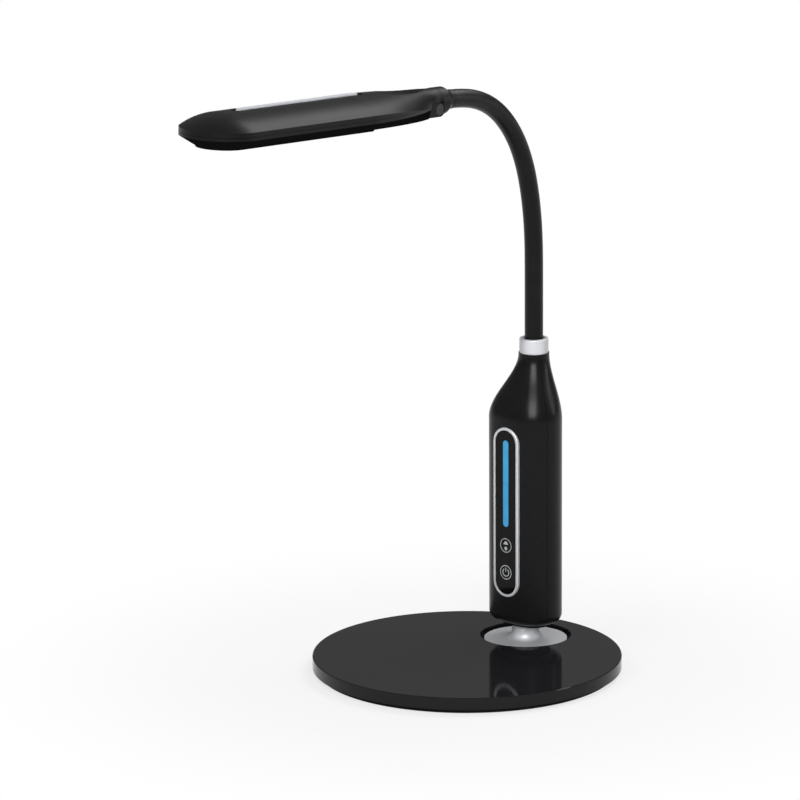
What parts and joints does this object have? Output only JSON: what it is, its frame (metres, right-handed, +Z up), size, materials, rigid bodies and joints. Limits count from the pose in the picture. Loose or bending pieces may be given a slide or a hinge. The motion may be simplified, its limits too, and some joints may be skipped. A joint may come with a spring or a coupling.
{
  "type": "gooseneck desk lamp",
  "caption": "Desk lamp with a round weighted base, an oval touch-panel body on a turntable, a bendable gooseneck and a slim tilting light head.",
  "frame": {"origin": "centre of the round base on the desk, at the underside of the foot pad", "axes": "+Z up, -Y towards the head's tip in the rest pose, +X towards the lamp's own left when it faces -Y"},
  "size_m": [0.2, 0.3512, 0.4019],
  "materials": {
    "base_plastic": "gloss",
    "body_plastic": "gloss",
    "head_plastic": "satin",
    "neck_rubber": "satin",
    "foot_rubber": "matte",
    "inner_plastic": "matte",
    "weight_steel": "matte",
    "silver": "satin",
    "hose_steel": "satin",
    "fastener_steel": "satin",
    "lens_plastic": "gloss",
    "slider_plastic": "lit blue",
    "circuit_board": "matte",
    "diffuser_plastic": "frosted",
    "board_aluminium": "matte",
    "chip_plastic": "matte",
    "washer_plastic": "matte"
  },
  "bodies": {
    "base": {"foot_pad": "foot_rubber", "base_cover": "inner_plastic", "base_weight": "weight_steel", "base_top_shell": "base_plastic", "base_screws": "fastener_steel", "swivel_bush": "inner_plastic"},
    "stand": {"swivel_stem": "silver", "spring_washer": "fastener_steel", "swivel_nut": "fastener_steel", "stem_nut": "fastener_steel", "body_bottom_cap": "inner_plastic", "body_front_shell": "body_plastic", "body_rear_shell": "body_plastic", "body_screws": "fastener_steel", "panel_trim_ring": "silver", "touch_lens": "lens_plastic", "slider_light_bar": "slider_plastic", "touch_board": "circuit_board", "driver_board": "circuit_board", "dc_jack": "lens_plastic", "neck_ferrule": "fastener_steel", "neck_collar": "silver", "gooseneck_hose_01": "hose_steel", "gooseneck_sleeve_01": "neck_rubber"},
    "neck_02": {"gooseneck_hose_02": "hose_steel", "gooseneck_sleeve_02": "neck_rubber"},
    "neck_03": {"gooseneck_hose_03": "hose_steel", "gooseneck_sleeve_03": "neck_rubber"},
    "neck_04": {"gooseneck_hose_04": "hose_steel", "gooseneck_sleeve_04": "neck_rubber"},
    "neck_05": {"gooseneck_hose_05": "hose_steel", "gooseneck_sleeve_05": "neck_rubber"},
    "neck_06": {"gooseneck_hose_06": "hose_steel", "gooseneck_sleeve_06": "neck_rubber"},
    "neck_07": {"gooseneck_hose_07": "hose_steel", "gooseneck_sleeve_07": "neck_rubber"},
    "neck_08": {"gooseneck_hose_08": "hose_steel", "gooseneck_sleeve_08": "neck_rubber"},
    "neck_09": {"gooseneck_hose_09": "hose_steel", "gooseneck_sleeve_09": "neck_rubber"},
    "neck_10": {"gooseneck_hose_10": "hose_steel", "gooseneck_sleeve_10": "neck_rubber"},
    "neck_11": {"gooseneck_hose_11": "hose_steel", "gooseneck_sleeve_11": "neck_rubber"},
    "neck_12": {"gooseneck_hose_12": "hose_steel", "gooseneck_sleeve_12": "neck_rubber", "neck_knuckle": "head_plastic"},
    "head": {"hinge_yoke": "head_plastic", "head_screws": "fastener_steel", "friction_washers": "washer_plastic", "pivot_screw": "fastener_steel", "pivot_nut": "fastener_steel", "head_top_shell": "head_plastic", "head_frame_band": "head_plastic", "head_bottom_shell": "head_plastic", "diffuser_bezel": "head_plastic", "diffuser": "diffuser_plastic", "light_board": "board_aluminium", "light_chips": "chip_plastic", "head_trim_bar": "silver"}
  },
  "joints": [
    {"name": "body_swivel", "type": "hinge", "parent": "base", "child": "stand", "pos_m": [0, 0.0585, 0.0075], "axis": [0, 0, 1], "range_deg": [-90, 90]},
    {"name": "neck_lower_bend_01", "type": "hinge", "parent": "stand", "child": "neck_02", "pos_m": [0, 0.0669, 0.22675], "axis": [-1, 0, 0], "range_deg": [-8, 8], "deforming": ["gooseneck_sleeve_01"]},
    {"name": "neck_side_bend_02", "type": "hinge", "parent": "neck_02", "child": "neck_03", "pos_m": [0, 0.0669, 0.2445], "axis": [0, 1, 0], "range_deg": [-8, 8], "deforming": ["gooseneck_sleeve_02"]},
    {"name": "neck_lower_bend_03", "type": "hinge", "parent": "neck_03", "child": "neck_04", "pos_m": [0, 0.06682, 0.26225], "axis": [-1, 0, 0], "range_deg": [-8, 8], "deforming": ["gooseneck_sleeve_03"]},
    {"name": "neck_side_bend_04", "type": "hinge", "parent": "neck_04", "child": "neck_05", "pos_m": [0, 0.0661, 0.27998], "axis": [0, 0.9973, 0.0732], "range_deg": [-8, 8], "deforming": ["gooseneck_sleeve_04"]},
    {"name": "neck_lower_bend_05", "type": "hinge", "parent": "neck_05", "child": "neck_06", "pos_m": [0, 0.06406, 0.29761], "axis": [-1, 0, 0], "range_deg": [-8, 8], "deforming": ["gooseneck_sleeve_05"]},
    {"name": "neck_side_bend_06", "type": "hinge", "parent": "neck_06", "child": "neck_07", "pos_m": [0, 0.06043, 0.31498], "axis": [0, 0.9677, 0.2521], "range_deg": [-8, 8], "deforming": ["gooseneck_sleeve_06"]},
    {"name": "neck_upper_bend_07", "type": "hinge", "parent": "neck_07", "child": "neck_08", "pos_m": [0, 0.05458, 0.33172], "axis": [-1, 0, 0], "range_deg": [-4, 10], "deforming": ["gooseneck_sleeve_07"]},
    {"name": "neck_upper_bend_08", "type": "hinge", "parent": "neck_08", "child": "neck_09", "pos_m": [0, 0.04583, 0.34712], "axis": [-1, 0, 0], "range_deg": [-4.8, 12], "deforming": ["gooseneck_sleeve_08"]},
    {"name": "neck_upper_bend_09", "type": "hinge", "parent": "neck_09", "child": "neck_10", "pos_m": [0, 0.03402, 0.36033], "axis": [-1, 0, 0], "range_deg": [-5.4, 13.5], "deforming": ["gooseneck_sleeve_09"]},
    {"name": "neck_upper_bend_10", "type": "hinge", "parent": "neck_10", "child": "neck_11", "pos_m": [0, 0.01932, 0.37017], "axis": [-1, 0, 0], "range_deg": [-5.8, 14.5], "deforming": ["gooseneck_sleeve_10"]},
    {"name": "neck_upper_bend_11", "type": "hinge", "parent": "neck_11", "child": "neck_12", "pos_m": [0, 0.00254, 0.37582], "axis": [-1, 0, 0], "range_deg": [-4.2, 10.5], "deforming": ["gooseneck_sleeve_11", "gooseneck_sleeve_12"]},
    {"name": "head_tilt", "type": "hinge", "parent": "neck_12", "child": "head", "pos_m": [0, -0.03465, 0.37524], "axis": [1, 0, 0], "range_deg": [0, 60]}
  ],
  "couplings": [
    {"joint": "neck_lower_bend_03", "follows": "neck_lower_bend_01", "ratio": 1},
    {"joint": "neck_lower_bend_05", "follows": "neck_lower_bend_01", "ratio": 1},
    {"joint": "neck_side_bend_04", "follows": "neck_side_bend_02", "ratio": 1},
    {"joint": "neck_side_bend_06", "follows": "neck_side_bend_02", "ratio": 1},
    {"joint": "neck_upper_bend_08", "follows": "neck_upper_bend_07", "ratio": 1.2},
    {"joint": "neck_upper_bend_09", "follows": "neck_upper_bend_07", "ratio": 1.35},
    {"joint": "neck_upper_bend_10", "follows": "neck_upper_bend_07", "ratio": 1.45},
    {"joint": "neck_upper_bend_11", "follows": "neck_upper_bend_07", "ratio": 1.05}
  ]
}
